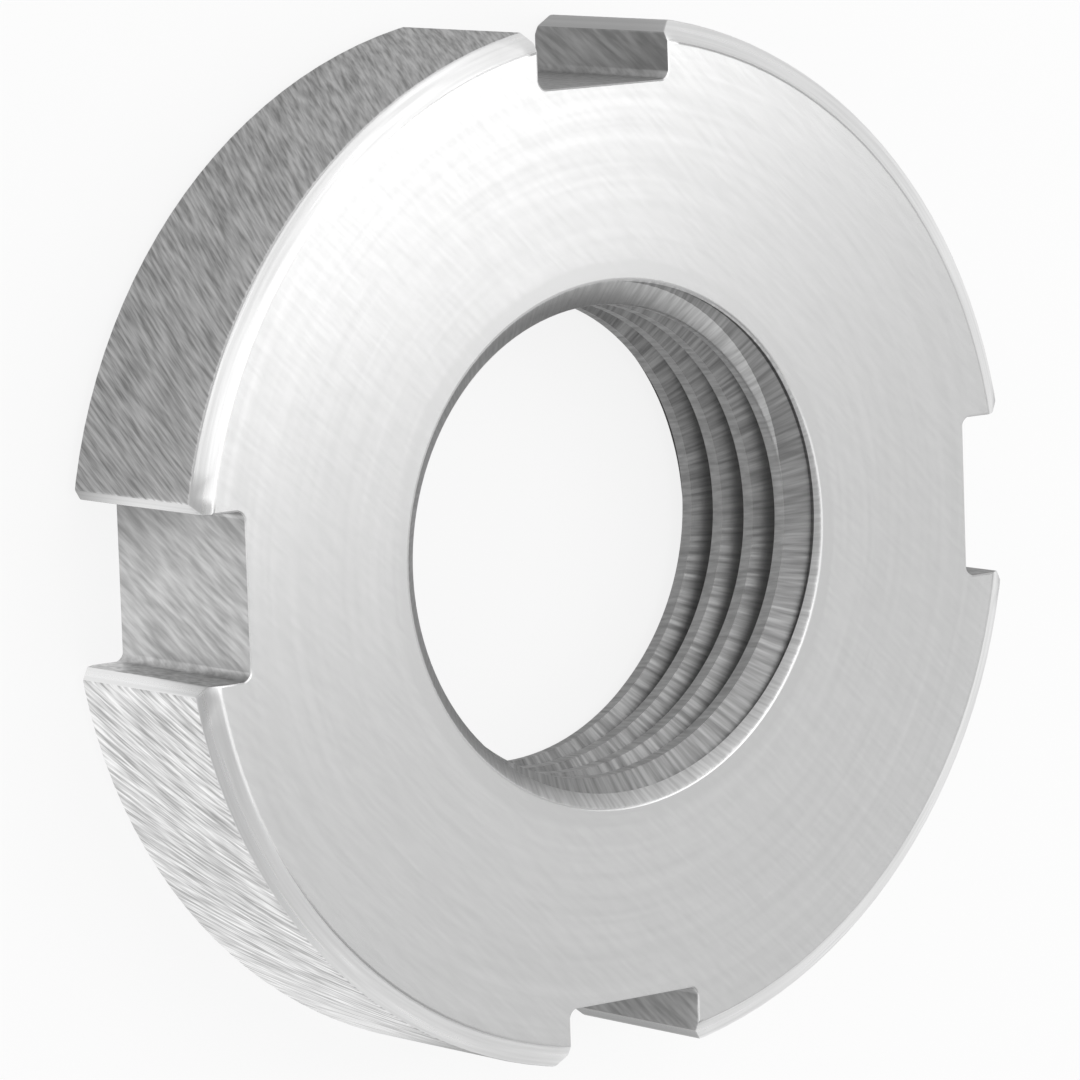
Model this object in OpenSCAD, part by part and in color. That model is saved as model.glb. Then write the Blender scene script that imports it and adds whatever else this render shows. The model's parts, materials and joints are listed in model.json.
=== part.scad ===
// Slotted round nut for a hook spanner, turned and milled from one piece of bright steel.
// The thread's axis is Z, the bearing face lies at z = 0, and the first slot opens towards +X.

/* [Body] */
// Outside diameter
outer_d = 32; // [26:0.5:60]
// Thickness from the bearing face to the outer face
thickness = 6.5; // [4:0.5:20]
// Radial width of the chamfer round each rim
rim_chamfer_w = 0.65; // [0.2:0.05:1.5]
// Angle of the rim chamfers, measured from the end faces
rim_chamfer_angle = 30; // [15:5:45]

/* [Thread] */
// Nominal diameter of the thread
thread_d = 16; // [8:1:20]
// Pitch of the thread
thread_pitch = 1.5; // [0.75:0.25:2]
// Radial width of the countersink at the outer face
outer_countersink_w = 0.8; // [0.2:0.05:1.5]
// Radial width of the countersink at the bearing face
bearing_countersink_w = 0.5; // [0.2:0.05:1.5]
// Included angle of the countersinks
countersink_angle = 90; // [60:5:120]

/* [Spanner slots] */
// Number of slots round the rim
slot_count = 4; // [2:1:6]
// Width of a slot between its walls
slot_w = 5; // [3:0.25:7]
// Depth of a slot, from the outside diameter to its floor
slot_depth = 2; // [1:0.1:3]
// Radius of the corners at the slot floor
slot_root_r = 0.25; // [0.1:0.05:0.6]
// Leg of the broken edge along each side of a slot mouth
slot_edge_break = 0.4; // [0.1:0.05:0.8]

/* [Hidden] */
$fn = 96;

// A cut runs this far past the surface that it opens through
cut_margin = 1;

outer_r = outer_d / 2;
rim_chamfer_h = rim_chamfer_w * tan(rim_chamfer_angle);

// The hole is drilled one pitch smaller than the thread, so its wall carries the thread's crests
hole_r = (thread_d - thread_pitch) / 2;
outer_countersink_h = outer_countersink_w / tan(countersink_angle / 2);
bearing_countersink_h = bearing_countersink_w / tan(countersink_angle / 2);

slot_floor_r = outer_r - slot_depth;
// Distance from the axis at which a slot wall meets the rim
slot_mouth_r = sqrt(outer_r * outer_r - slot_w * slot_w / 4);

// Half section of the turned blank, with the radius along X and the axis along Y
module turned_section() {
    polygon([
        [hole_r, bearing_countersink_h],
        [hole_r + bearing_countersink_w, 0],
        [outer_r - rim_chamfer_w, 0],
        [outer_r, rim_chamfer_h],
        [outer_r, thickness - rim_chamfer_h],
        [outer_r - rim_chamfer_w, thickness],
        [hole_r + outer_countersink_w, thickness],
        [hole_r, thickness - outer_countersink_h]
    ]);
}

// Rounded corner that the cutter leaves where a slot wall meets the floor
module root_corner() {
    difference() {
        translate([slot_floor_r, -slot_w / 2])
            square(slot_root_r);
        translate([slot_floor_r + slot_root_r, slot_root_r - slot_w / 2])
            circle(slot_root_r);
    }
}

// Flare that takes the burr off both edges of a slot mouth at 45 degrees
module mouth_flare() {
    flare_l = slot_edge_break + cut_margin;
    inner_x = slot_mouth_r - slot_edge_break;
    polygon([
        [inner_x, -slot_w / 2],
        [inner_x + flare_l, -slot_w / 2 - flare_l],
        [inner_x + flare_l, slot_w / 2 + flare_l],
        [inner_x, slot_w / 2]
    ]);
}

// Outline of one slot, opening towards +X
module slot_outline() {
    difference() {
        translate([slot_floor_r, -slot_w / 2])
            square([slot_depth + cut_margin, slot_w]);
        root_corner();
        mirror([0, 1])
            root_corner();
    }
    mouth_flare();
}

// The slots, cut right through the thickness at equal angles
module spanner_slots() {
    for (i = [0 : slot_count - 1])
        rotate(i * 360 / slot_count)
            translate([0, 0, -cut_margin])
                linear_extrude(thickness + 2 * cut_margin)
                    slot_outline();
}

module round_nut() {
    color("silver")
        difference() {
            rotate_extrude()
                turned_section();
            spanner_slots();
        }
}

round_nut();
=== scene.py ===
import json
import math

import bpy
from mathutils import Matrix, Vector


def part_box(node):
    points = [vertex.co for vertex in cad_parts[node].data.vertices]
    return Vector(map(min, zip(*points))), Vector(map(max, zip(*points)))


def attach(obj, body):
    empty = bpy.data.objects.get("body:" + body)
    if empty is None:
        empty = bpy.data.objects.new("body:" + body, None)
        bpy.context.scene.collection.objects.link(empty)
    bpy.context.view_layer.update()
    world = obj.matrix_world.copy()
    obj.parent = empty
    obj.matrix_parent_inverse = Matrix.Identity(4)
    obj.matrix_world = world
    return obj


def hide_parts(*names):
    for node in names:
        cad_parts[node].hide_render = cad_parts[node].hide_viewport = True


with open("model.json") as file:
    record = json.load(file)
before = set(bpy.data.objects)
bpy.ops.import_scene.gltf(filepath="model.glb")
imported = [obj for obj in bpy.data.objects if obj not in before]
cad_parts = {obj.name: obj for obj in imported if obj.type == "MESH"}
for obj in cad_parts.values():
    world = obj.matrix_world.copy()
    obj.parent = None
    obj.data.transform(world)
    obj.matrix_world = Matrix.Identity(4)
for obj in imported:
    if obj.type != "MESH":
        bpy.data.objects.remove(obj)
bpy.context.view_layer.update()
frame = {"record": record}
bpy.ops.object.select_all(action="DESELECT")


# The blank: a slice of bright steel bar, faced, bored, countersunk and chamfered on a lathe.
# Its half section is drawn corner by corner beside the thread's axis and spun once round it.
# The end faces keep faint tool rings, and the rim the slanting marks of the bar's grinding.
nut_low, nut_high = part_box("round_nut")
thickness = nut_high.z - nut_low.z
thread_mount = next(m for m in frame["record"]["mounts"] if m["name"] == "thread")
hole_r = thread_mount["dims"]["r_mm"] / 1000
hole_half_l = thread_mount["dims"]["length_mm"] / 1000 / 2
hole_low = thread_mount["pos_m"][2] - hole_half_l
hole_high = thread_mount["pos_m"][2] + hole_half_l
countersink_slope = math.tan(math.radians(45))
bearing_countersink_r = hole_r + hole_low * countersink_slope
outer_countersink_r = hole_r + (thickness - hole_high) * countersink_slope
outer_r = 0.016
rim_chamfer_w = 0.00065
rim_chamfer_h = rim_chamfer_w * math.tan(math.radians(30))
lathe_steps = 128
weld_distance = 1e-6


def choose(piece):
    bpy.ops.object.select_all(action="DESELECT")
    bpy.context.view_layer.objects.active = piece
    piece.select_set(True)


def edit(piece):
    choose(piece)
    bpy.ops.object.mode_set(mode="EDIT")


def leave_edit():
    bpy.ops.object.mode_set(mode="OBJECT")


def edit_only(piece, kind, wanted):
    """Opens a piece for editing with only the wanted vertices, edges or polygons selected."""
    edit(piece)
    bpy.ops.mesh.select_all(action="DESELECT")
    leave_edit()
    for element in getattr(piece.data, kind):
        element.select = wanted(element)
    edit(piece)


def face_outwards(piece):
    edit(piece)
    bpy.ops.mesh.select_all(action="SELECT")
    bpy.ops.mesh.normals_make_consistent(inside=False)
    leave_edit()


def apply_place(piece):
    choose(piece)
    bpy.ops.object.transform_apply(location=True, rotation=True, scale=True)


def draw_outline(name, corners):
    """A closed wire loop in the XZ plane, drawn by extruding one point from corner to corner."""
    bpy.ops.object.select_all(action="DESELECT")
    bpy.ops.mesh.primitive_plane_add(size=weld_distance, location=corners[0])
    piece = bpy.context.object
    piece.name = name
    apply_place(piece)
    edit(piece)
    bpy.ops.mesh.select_all(action="SELECT")
    bpy.ops.mesh.merge(type="CENTER")
    for here, there in zip(corners, corners[1:]):
        bpy.ops.mesh.extrude_region_move(
            TRANSFORM_OT_translate={"value": Vector(there) - Vector(here)}
        )
    leave_edit()
    uses = [v for drawn in piece.data.edges for v in drawn.vertices]
    edit_only(piece, "vertices", lambda v: uses.count(v.index) == 1)
    bpy.ops.mesh.edge_face_add()
    bpy.ops.mesh.select_all(action="SELECT")
    leave_edit()
    return piece


def add_node(tree, kind, inputs, **settings):
    """A shader node with its settings; an input is a value or another node's output."""
    node = tree.nodes.new(kind)
    for key, value in settings.items():
        setattr(node, key, value)
    for key, value in inputs.items():
        if isinstance(value, bpy.types.NodeSocket):
            tree.links.new(value, node.inputs[key])
        else:
            node.inputs[key].default_value = value
    return node


def arithmetic(tree, operation, first, second):
    return add_node(tree, "ShaderNodeMath", {0: first, 1: second}, operation=operation).outputs[0]


def vector_math(tree, operation, inputs, result="Vector"):
    return add_node(tree, "ShaderNodeVectorMath", inputs, operation=operation).outputs[result]


def object_place(tree):
    return add_node(tree, "ShaderNodeTexCoord", {}).outputs["Object"]


def off_axis(tree, vector):
    """The share of a vector that lies square to the Z axis."""
    return vector_math(tree, "MULTIPLY", {0: vector, 1: (1, 1, 0)})


def axis_distance(tree):
    return vector_math(tree, "LENGTH", {0: off_axis(tree, object_place(tree))}, "Value")


def noise(tree, vector):
    """Grain whose grains are about one unit of the vector across."""
    return add_node(tree, "ShaderNodeTexNoise", {"Vector": vector, "Scale": 1.0}).outputs["Fac"]


def round_noise(tree, place, grains_a_radian, along):
    """Grain that closes round the Z axis with no seam, one grain to each unit of along."""
    around = vector_math(tree, "NORMALIZE", {0: off_axis(tree, place)})
    stretched = vector_math(tree, "SCALE", {0: around, "Scale": grains_a_radian})
    lengthwise = add_node(tree, "ShaderNodeCombineXYZ", {"Z": along}).outputs[0]
    return noise(tree, vector_math(tree, "ADD", {0: stretched, 1: lengthwise}))


def tool_rings(tree, ring_w, arc_count):
    """Rings about the Z axis, each broken into arcs of uneven strength."""
    rings = arithmetic(tree, "DIVIDE", axis_distance(tree), ring_w)
    return round_noise(tree, object_place(tree), arc_count / math.tau, rings)


def round_strokes(tree, wall_r, slant, stroke_l, stroke_w):
    """Marks on a wall round the Z axis, which lean from that axis by slant."""
    place = object_place(tree)
    height = add_node(tree, "ShaderNodeSeparateXYZ", {0: place}).outputs["Z"]
    twist = arithmetic(tree, "MULTIPLY", height, -math.tan(slant) / wall_r)
    inputs = {"Vector": place, "Angle": twist}
    turned = add_node(tree, "ShaderNodeVectorRotate", inputs, rotation_type="Z_AXIS").outputs[0]
    along = arithmetic(tree, "DIVIDE", height, stroke_l)
    return round_noise(tree, turned, wall_r / stroke_w, along)


def flat_strokes(tree, turn, stroke_l, stroke_w):
    """Short straight marks along a direction that turn, as Euler angles, gives to the X axis."""
    inputs = {
        "Vector": object_place(tree),
        "Rotation": turn,
        "Scale": (stroke_l, stroke_w, stroke_w),
    }
    return noise(tree, add_node(tree, "ShaderNodeMapping", inputs, vector_type="TEXTURE").outputs[0])


def spread(tree, value, low, high, from_low=0.3, from_high=0.7):
    """Stretches a value's range, or the middle of a grain's, over low to high."""
    inputs = {
        "Value": value,
        "From Min": from_low,
        "From Max": from_high,
        "To Min": low,
        "To Max": high,
    }
    return add_node(tree, "ShaderNodeMapRange", inputs).outputs[0]


def new_steel(name):
    steel = bpy.data.materials.new(name)
    steel.use_nodes = True
    steel.node_tree.nodes["Principled BSDF"].inputs["Metallic"].default_value = 1
    return steel


def dress(steel, marks, greys, roughnesses, relief):
    """Lets the marks drive a steel's grey, its gloss and a relief of that height."""
    tree = steel.node_tree
    shader = tree.nodes["Principled BSDF"]
    bump = add_node(tree, "ShaderNodeBump", {"Height": marks, "Distance": relief, "Strength": 1.0})
    tree.links.new(spread(tree, marks, *greys), shader.inputs["Base Color"])
    tree.links.new(spread(tree, marks, *roughnesses), shader.inputs["Roughness"])
    tree.links.new(bump.outputs[0], shader.inputs["Normal"])


faced_steel = new_steel("faced_steel")
face_tree = faced_steel.node_tree
face_lay = (0, 0, math.radians(-43))
rubbed_ring_r = 0.0086
rubbed_fade_w = 0.00015
rubbed_drop = 0.22
face_rings = tool_rings(face_tree, ring_w=0.00028, arc_count=9)
face_strokes = flat_strokes(face_tree, face_lay, stroke_l=0.0011, stroke_w=0.00016)
face_marks = arithmetic(
    face_tree, "MULTIPLY", arithmetic(face_tree, "ADD", face_rings, face_strokes), 0.5
)
rubbed = spread(
    face_tree,
    axis_distance(face_tree),
    rubbed_drop,
    0,
    from_low=rubbed_ring_r - rubbed_fade_w,
    from_high=rubbed_ring_r + rubbed_fade_w,
)
face_marks = arithmetic(face_tree, "SUBTRACT", face_marks, rubbed)
dress(faced_steel, face_marks, greys=(0.605, 0.685), roughnesses=(0.23, 0.2), relief=3e-7)

rim_steel = new_steel("rim_steel")
rim_slant = math.radians(30)
rim_marks = round_strokes(rim_steel.node_tree, outer_r, rim_slant, stroke_l=0.0012, stroke_w=0.00012)
dress(rim_steel, rim_marks, greys=(0.42, 1.0), roughnesses=(0.48, 0.28), relief=1.2e-5)

# The chamfers: the same steel in a paler grey, a painted highlight for the light these slanted bands
# catch.
chamfered_steel = new_steel("chamfered_steel")
chamfer_marks = tool_rings(chamfered_steel.node_tree, ring_w=0.00012, arc_count=24)
dress(chamfered_steel, chamfer_marks, greys=(0.74, 0.86), roughnesses=(0.34, 0.26), relief=2e-6)

# The bore and countersinks: the strokes are the boring marks, and the grey, a little below the faced
# steel's, is partly painted shade for the inside of the hole.
countersunk_steel = new_steel("countersunk_steel")
bore_slant = math.radians(8)
bore_mark_l = 0.0009
bore_mark_w = 0.00013
bore_marks = round_strokes(countersunk_steel.node_tree, hole_r, bore_slant, bore_mark_l, bore_mark_w)
dress(countersunk_steel, bore_marks, greys=(0.46, 0.64), roughnesses=(0.5, 0.38), relief=8e-6)

half_section = [
    (hole_r, 0, hole_low),
    (bearing_countersink_r, 0, 0),
    (outer_r - rim_chamfer_w, 0, 0),
    (outer_r, 0, rim_chamfer_h),
    (outer_r, 0, thickness - rim_chamfer_h),
    (outer_r - rim_chamfer_w, 0, thickness),
    (outer_countersink_r, 0, thickness),
    (hole_r, 0, hole_high),
]
nut = draw_outline("round_nut_steel", half_section)
edit(nut)
bpy.ops.mesh.spin(steps=lathe_steps, angle=math.tau, center=(0, 0, 0), axis=(0, 0, 1))
bpy.ops.mesh.select_all(action="SELECT")
bpy.ops.mesh.remove_doubles(threshold=weld_distance)
leave_edit()
face_outwards(nut)

blank_finishes = [faced_steel, rim_steel, countersunk_steel, chamfered_steel]
level_rise = 0.99
upright_rise = 0.1
for finish in blank_finishes:
    nut.data.materials.append(finish)
for face in nut.data.polygons:
    rise = abs(face.normal.z)
    if rise > level_rise:
        finish = faced_steel
    elif face.center.xy.length < outer_countersink_r:
        finish = countersunk_steel
    elif rise < upright_rise:
        finish = rim_steel
    else:
        finish = chamfered_steel
    face.material_index = blank_finishes.index(finish)


# The spanner slots: four cuts of a side mill through the rim, with the cutter's small corner
# radius at the floor and the mouth edges broken at 45 degrees to take the burr off.
slot_w = 0.005
slot_depth = 0.002
slot_root_r = 0.00025
slot_root_steps = 6
slot_edge_break = 0.0004
slot_count = 4
overrun = 0.001
slot_floor_r = outer_r - slot_depth
mouth_r = math.sqrt(outer_r**2 - (slot_w / 2) ** 2)
flare_r = mouth_r - slot_edge_break
flare_l = slot_edge_break + overrun
flare_lean = 0.5
mouth_lean = 0.9

# The slot walls and floors: a grey below the faced steel's, painted shade for the slots' recesses.
milled_steel = new_steel("milled_steel")
mill_lay = (0, math.radians(-61), math.radians(-90))
mill_marks = flat_strokes(milled_steel.node_tree, mill_lay, stroke_l=0.0012, stroke_w=0.00017)
dress(milled_steel, mill_marks, greys=(0.42, 0.64), roughnesses=(0.48, 0.34), relief=1e-5)


def apply_modifier(piece, kind, **settings):
    choose(piece)
    modifier = piece.modifiers.new(kind, kind)
    for key, value in settings.items():
        setattr(modifier, key, value)
    bpy.ops.object.modifier_apply(modifier=kind)


def cut(piece, cutter):
    """Takes the cutter's shape and finish out of the piece and removes the cutter."""
    apply_modifier(
        piece,
        "BOOLEAN",
        operation="DIFFERENCE",
        solver="EXACT",
        material_mode="TRANSFER",
        object=cutter,
    )
    bpy.data.objects.remove(cutter)


bpy.ops.object.select_all(action="DESELECT")
bpy.ops.mesh.primitive_cube_add(
    size=1,
    location=((slot_floor_r + flare_r) / 2, 0, thickness / 2),
    scale=(flare_r - slot_floor_r, slot_w, thickness + 2 * overrun),
)
mill = bpy.context.object
apply_place(mill)


def along_slot_root(edge):
    ends = [mill.data.vertices[v].co for v in edge.vertices]
    on_floor = all(abs(end.x - slot_floor_r) < weld_distance for end in ends)
    return on_floor and abs(ends[0].y - ends[1].y) < weld_distance


edit_only(mill, "edges", along_slot_root)
bpy.ops.mesh.bevel(offset=slot_root_r, segments=slot_root_steps, affect="EDGES")
leave_edit()
edit_only(mill, "polygons", lambda face: face.normal.x > mouth_lean)
bpy.ops.mesh.extrude_region_move(TRANSFORM_OT_translate={"value": (flare_l, 0, 0)})
bpy.ops.transform.resize(value=(1, 1 + 2 * flare_l / slot_w, 1))
leave_edit()
face_outwards(mill)

# The flares at the slot mouths take the chamfer steel with its painted highlight.
mill_finishes = [milled_steel, chamfered_steel]
for finish in mill_finishes:
    mill.data.materials.append(finish)
for face in mill.data.polygons:
    on_flare = face.center.x > flare_r and abs(face.normal.x) > flare_lean
    face.material_index = mill_finishes.index(chamfered_steel if on_flare else milled_steel)
for i in range(slot_count):
    choose(mill)
    bpy.ops.object.duplicate(linked=False)
    slot_cutter = bpy.context.object
    slot_cutter.rotation_euler.z = i * math.tau / slot_count
    apply_place(slot_cutter)
    cut(nut, slot_cutter)
bpy.data.objects.remove(mill)


# The broken edges: the lathe and the mill leave sharp corners all over the bare steel, and each one is
# deburred to a narrow rounded land that catches the light.
edge_land = 0.00007
edge_land_steps = 2
edge_min_angle = math.radians(24)
apply_modifier(
    nut,
    "BEVEL",
    width=edge_land,
    segments=edge_land_steps,
    limit_method="ANGLE",
    angle_limit=edge_min_angle,
    use_clamp_overlap=True,
)


# The thread: a right-hand fine thread cut by a tap, a 60 degree groove that climbs one pitch a turn
# and runs out over both countersinks. Its flanks are torn and dull, and their grey is painted far
# darker than the steel's own, as painted shade deep in the groove.
thread_pitch = 0.0015
groove_depth = thread_pitch / 2
groove_root_w = thread_pitch / 8
flank_slope = math.tan(math.radians(30))
tap_overlap = 0.0002
tap_half_w = groove_root_w / 2 + (groove_depth + tap_overlap) * flank_slope
tap_start = -0.00281
tap_turns = 7
half_step = math.pi / lathe_steps

tapped_steel = new_steel("tapped_steel")
tap_marks = round_strokes(tapped_steel.node_tree, hole_r, bore_slant, bore_mark_l, bore_mark_w)
# The thread's greys are painted shade: far below the steel's own grey, to darken the groove.
dress(tapped_steel, tap_marks, greys=(0.21, 0.35), roughnesses=(0.44, 0.32), relief=6e-6)

tap_profile = [
    (hole_r - tap_overlap, 0, tap_start - tap_half_w),
    (hole_r + groove_depth, 0, tap_start - groove_root_w / 2),
    (hole_r + groove_depth, 0, tap_start + groove_root_w / 2),
    (hole_r - tap_overlap, 0, tap_start + tap_half_w),
]
tap = draw_outline("tap", tap_profile)
tap.data.materials.append(tapped_steel)
apply_modifier(
    tap,
    "SCREW",
    axis="Z",
    angle=math.tau,
    screw_offset=thread_pitch,
    iterations=tap_turns,
    steps=lathe_steps,
    render_steps=lathe_steps,
)
corner_count = len(tap_profile)
for first_corner in (0, len(tap.data.vertices) - corner_count):
    end_corners = range(first_corner, first_corner + corner_count)
    edit_only(tap, "vertices", lambda v: v.index in end_corners)
    bpy.ops.mesh.edge_face_add()
    leave_edit()
face_outwards(tap)
tap.rotation_euler.z = half_step
apply_place(tap)
cut(nut, tap)

smooth_angle = math.radians(25)
flat_rise = 0.9999
choose(nut)
bpy.ops.object.shade_smooth_by_angle(angle=smooth_angle)
edit_only(nut, "polygons", lambda face: abs(face.normal.z) > flat_rise)
bpy.ops.mesh.faces_shade_flat()
leave_edit()
apply_modifier(nut, "WEIGHTED_NORMAL", keep_sharp=True)
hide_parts("round_nut")
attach(nut, "root")


# The floor: a plain white sheet that carries the nut. To the camera it is partly lit by itself, so that
# it is white and still keeps the nut's shadow. Mirrored in the steel it carries a painted shadow close
# to the nut and a painted pool of light on the side towards the bright part of the rim.
floor_size = 1.2
floor_grey = 0.9
floor_roughness = 0.9
seen_glow = 0.85
painted_shadow_glow = 0.42
lit_angle = math.radians(216)
lit_side = (math.cos(lit_angle), math.sin(lit_angle), 0)
lit_edge_cos = 0.7
lit_core_cos = 0.8
dim_within = 0.02
lit_beyond = 0.04
bpy.ops.object.select_all(action="DESELECT")
bpy.ops.mesh.primitive_plane_add(size=floor_size, location=(0, 0, nut_low.z))
floor = bpy.context.object
floor.name = "floor"
sheet = bpy.data.materials.new("white_sheet")
sheet.use_nodes = True
sheet_tree = sheet.node_tree
matt = sheet_tree.nodes["Principled BSDF"]
matt.inputs["Base Color"].default_value = (floor_grey, floor_grey, floor_grey, 1)
matt.inputs["Roughness"].default_value = floor_roughness
path = add_node(sheet_tree, "ShaderNodeLightPath", {})
seen = path.outputs["Is Camera Ray"]
mirrored = arithmetic(
    sheet_tree, "MAXIMUM", path.outputs["Is Glossy Ray"], path.outputs["Is Transmission Ray"]
)
bearing = vector_math(sheet_tree, "NORMALIZE", {0: object_place(sheet_tree)})
facing = vector_math(sheet_tree, "DOT_PRODUCT", {0: bearing, 1: lit_side}, "Value")
# The glow the steel sees: a painted shadow within a few centimetres of the nut, and a painted lit side.
mirrored_glow = arithmetic(
    sheet_tree,
    "MAXIMUM",
    spread(sheet_tree, facing, painted_shadow_glow, 1, lit_edge_cos, lit_core_cos),
    spread(sheet_tree, axis_distance(sheet_tree), painted_shadow_glow, 1, dim_within, lit_beyond),
)
glow_strength = arithmetic(sheet_tree, "MAXIMUM", seen, mirrored_glow)
glow = add_node(sheet_tree, "ShaderNodeEmission", {"Strength": glow_strength})
glow_share = arithmetic(
    sheet_tree, "MAXIMUM", arithmetic(sheet_tree, "MULTIPLY", seen, seen_glow), mirrored
)
blend = add_node(
    sheet_tree, "ShaderNodeMixShader", {0: glow_share, 1: matt.outputs[0], 2: glow.outputs[0]}
)
sheet_tree.links.new(blend.outputs[0], sheet_tree.nodes["Material Output"].inputs["Surface"])
floor.data.materials.append(sheet)


# The light: a soft surround that is dimmer overhead than at the walls, a softbox whose edge is mirrored
# across the outer face, a dimmer panel beside it, two strips that the rim chamfers mirror, and a lamp
# high up for the broken edges.
wall_glow = 0.85
ceiling_glow = 0.42
wall_top_rise = 0.45
ceiling_rise = 0.7
world = bpy.data.worlds.new("studio")
bpy.context.scene.world = world
world.use_nodes = True
world_tree = world.node_tree
surround = world_tree.nodes["Background"]
surround.inputs["Color"].default_value = (1, 1, 1, 1)
direction = add_node(world_tree, "ShaderNodeTexCoord", {}).outputs["Generated"]
direction_rise = add_node(world_tree, "ShaderNodeSeparateXYZ", {0: direction}).outputs["Z"]
surround_glow = spread(
    world_tree, direction_rise, wall_glow, ceiling_glow, wall_top_rise, ceiling_rise
)
world_tree.links.new(surround_glow, surround.inputs["Strength"])


def softbox(name, place, turn, width, depth, radiance):
    """A lamp of even radiance that shines straight down, turned about the Z axis."""
    power_per_radiance = 4 * width * depth
    data = bpy.data.lights.new(name, "AREA")
    data.shape = "RECTANGLE"
    data.size = width
    data.size_y = depth
    data.energy = radiance * power_per_radiance
    lamp = bpy.data.objects.new(name, data)
    bpy.context.scene.collection.objects.link(lamp)
    lamp.location = place
    lamp.rotation_euler.z = turn


edge_middle = Vector((0.1352, -0.0114, 0.186))
edge_inward = Vector((-0.4, 0.917, 0))
edge_turn = math.atan2(-edge_inward.x, edge_inward.y)
overhead_w = 0.1
overhead_place = edge_middle + edge_inward * overhead_w / 2
softbox("overhead", overhead_place, edge_turn, overhead_w, overhead_w, radiance=1.3)
beside_w = 0.15
beside_place = edge_middle - edge_inward * beside_w / 2
softbox("beside", beside_place, edge_turn, beside_w, beside_w, radiance=0.32)
far_place = (0.0232, 0.1556, 0.25)
softbox("far strip", far_place, math.radians(49), width=0.4, depth=0.15, radiance=0.9)
near_place = (-0.0095, -0.236, 0.25)
softbox("near strip", near_place, math.radians(-65.6), width=0.36, depth=0.1, radiance=0.38)
zenith_place = (0.04, -0.01, 0.3)
softbox("zenith", zenith_place, 0, width=0.12, depth=0.24, radiance=0.8)


# The camera: a long lens that looks down on the nut from 39 degrees off its axis, rolled on its side so
# that the picture stands as the photo does.
lens_mm = 255.6
sensor_mm = 36
look_at = (-0.00306, 0.00048, thickness)
view_turn = math.radians(258.01)
view_tilt = math.radians(38.81)
view_roll = math.radians(97.43)
view_distance = 0.23065
camera_data = bpy.data.cameras.new("camera")
camera_data.sensor_width = sensor_mm
camera_data.lens = lens_mm
camera = bpy.data.objects.new("camera", camera_data)
bpy.context.scene.collection.objects.link(camera)
camera.matrix_world = (
    Matrix.Translation(look_at)
    @ Matrix.Rotation(view_turn, 4, "Z")
    @ Matrix.Rotation(view_tilt, 4, "X")
    @ Matrix.Rotation(view_roll, 4, "Z")
    @ Matrix.Translation((0, 0, view_distance))
)
bpy.context.scene.camera = camera

bpy.context.scene.view_settings.view_transform = "Standard"
